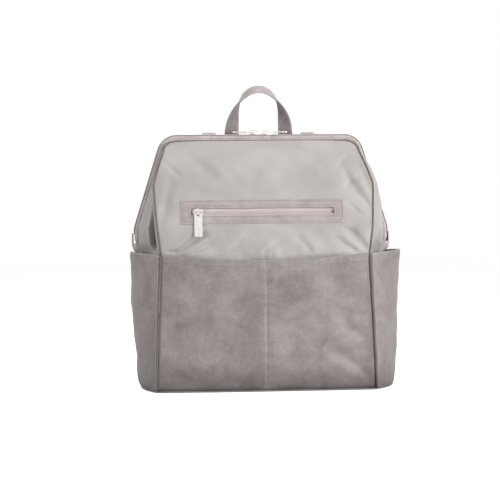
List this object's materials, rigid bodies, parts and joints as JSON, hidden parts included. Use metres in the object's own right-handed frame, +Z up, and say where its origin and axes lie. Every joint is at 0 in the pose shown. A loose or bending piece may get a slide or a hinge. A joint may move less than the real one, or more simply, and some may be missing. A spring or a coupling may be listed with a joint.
{
  "type": "diaper bag",
  "caption": "Soft baby-care backpack with a wide wire-framed zip mouth, zipped front pocket, curved side pockets, padded back, shoulder straps and a top grab handle.",
  "frame": {"origin": "on the ground under the middle of the base, on the base panel's underside", "axes": "+Z up, the front with the pocket zip faces -Y, +X to the right seen from the front"},
  "size_m": [0.384, 0.1987, 0.4309],
  "materials": {
    "nylon": "satin-smooth coated woven nylon, light warm grey",
    "leatherette": "satin, fine grain with tonal blotches, warm mid grey",
    "lining": "plain dark woven lining",
    "elastic": "ribbed elastic binding",
    "foam": "open foam sheet",
    "board": "matt stiffener board",
    "webbing": "ribbed flat webbing",
    "piping": "satin corded piping",
    "zip_tape": "woven herringbone tape",
    "zip_teeth": "moulded coil teeth",
    "plated_metal": "bright nickel-plated zinc",
    "frame_wire": "drawn spring-steel wire",
    "buckle_plastic": "matt moulded plastic"
  },
  "bodies": {
    "bag_body": {"back_foam": "foam", "back_panel": "nylon", "base_board": "board", "base_panel": "leatherette", "frame_pivot_rivets": "frame_wire", "front_lower_left_panel": "leatherette", "front_lower_right_panel": "leatherette", "front_pocket_bag": "lining", "front_upper_panel": "nylon", "handle_ends": "leatherette", "inner_pocket_elastic": "elastic", "inner_rear_pocket": "lining", "left_front_gusset": "nylon", "left_lower_piping": "piping", "left_pocket_lining": "lining", "left_rear_gusset": "nylon", "left_side_panel": "nylon", "left_side_pocket": "leatherette", "left_strap_webbing": "webbing", "left_upper_piping": "piping", "lining": "lining", "pocket_zip_patch": "leatherette", "pocket_zip_tapes": "zip_tape", "pocket_zip_teeth": "zip_teeth", "rear_frame_channel": "leatherette", "rear_frame_wire": "frame_wire", "rear_zip_tape": "zip_tape", "rear_zip_teeth": "zip_teeth", "right_front_gusset": "nylon", "right_lower_piping": "piping", "right_pocket_lining": "lining", "right_rear_gusset": "nylon", "right_side_panel": "nylon", "right_side_pocket": "leatherette", "right_strap_webbing": "webbing", "right_upper_piping": "piping", "strap_lower_tabs": "leatherette", "strap_top_anchors": "leatherette", "trolley_sleeve": "leatherette", "zip_end_tabs": "leatherette"},
    "mouth_front": {"front_frame_wire": "frame_wire", "front_frame_channel": "leatherette", "front_zip_tape": "zip_tape", "front_zip_teeth": "zip_teeth"},
    "left_slider": {"left_slider": "plated_metal"},
    "right_slider": {"right_slider": "plated_metal"},
    "left_puller": {"left_puller": "plated_metal"},
    "right_puller": {"right_puller": "plated_metal"},
    "pocket_slider": {"pocket_slider": "plated_metal"},
    "pocket_link": {"pocket_pull_link": "plated_metal"},
    "pocket_puller": {"pocket_puller": "plated_metal"},
    "handle": {"top_handle": "leatherette"},
    "left_strap": {"left_strap_pad": "nylon", "left_strap_loop": "webbing"},
    "right_strap": {"right_strap_pad": "nylon", "right_strap_loop": "webbing"},
    "left_adjuster": {"left_adjuster": "buckle_plastic"},
    "right_adjuster": {"right_adjuster": "buckle_plastic"}
  },
  "joints": [
    {"name": "mouth_open", "type": "hinge", "parent": "bag_body", "child": "mouth_front", "pos_m": [0, 0.012, 0.212], "axis": [1, 0, 0], "range_deg": [0, 55], "deforming": ["front_upper_panel", "left_front_gusset", "right_front_gusset", "left_upper_piping", "right_upper_piping"]},
    {"name": "left_slider_travel", "type": "slide", "parent": "bag_body", "child": "left_slider", "axis": [-1, 0, 0], "range_m": [0, 0.105]},
    {"name": "right_slider_travel", "type": "slide", "parent": "bag_body", "child": "right_slider", "axis": [1, 0, 0], "range_m": [0, 0.105]},
    {"name": "left_puller_flip", "type": "hinge", "parent": "left_slider", "child": "left_puller", "pos_m": [-0.0092, 0.012, 0.3615], "axis": [0, 1, 0], "range_deg": [0, 100]},
    {"name": "right_puller_flip", "type": "hinge", "parent": "right_slider", "child": "right_puller", "pos_m": [0.0092, 0.012, 0.3615], "axis": [0, -1, 0], "range_deg": [0, 100]},
    {"name": "pocket_zip_travel", "type": "slide", "parent": "bag_body", "child": "pocket_slider", "axis": [1, 0, 0], "range_m": [0, 0.177]},
    {"name": "pocket_link_lift", "type": "hinge", "parent": "pocket_slider", "child": "pocket_link", "pos_m": [-0.092, -0.08084, 0.24809], "axis": [-1, 0, 0], "range_deg": [0, 85]},
    {"name": "pocket_puller_swing", "type": "hinge", "parent": "pocket_link", "child": "pocket_puller", "pos_m": [-0.092, -0.08282, 0.24172], "axis": [0, -0.927, 0.3749], "range_deg": [-35, 35]},
    {"name": "handle_fold", "type": "hinge", "parent": "bag_body", "child": "handle", "pos_m": [0, 0.04, 0.351], "axis": [1, 0, 0], "range_deg": [-95, 10]},
    {"name": "left_strap_lift", "type": "hinge", "parent": "bag_body", "child": "left_strap", "pos_m": [-0.076, 0.0475, 0.345], "axis": [1, 0, 0], "range_deg": [0, 16], "deforming": ["left_strap_webbing"]},
    {"name": "right_strap_lift", "type": "hinge", "parent": "bag_body", "child": "right_strap", "pos_m": [0.076, 0.0475, 0.345], "axis": [1, 0, 0], "range_deg": [0, 16], "deforming": ["right_strap_webbing"]},
    {"name": "left_adjuster_tilt", "type": "hinge", "parent": "left_strap", "child": "left_adjuster", "pos_m": [-0.088, 0.098, 0.14], "axis": [1, 0, 0], "range_deg": [-12, 12]},
    {"name": "right_adjuster_tilt", "type": "hinge", "parent": "right_strap", "child": "right_adjuster", "pos_m": [0.088, 0.098, 0.14], "axis": [1, 0, 0], "range_deg": [-12, 12]}
  ],
  "couplings": [
    {"joint": "left_slider_travel", "follows": "mouth_open", "m_per_rad": 0.109},
    {"joint": "right_slider_travel", "follows": "mouth_open", "m_per_rad": 0.109}
  ]
}
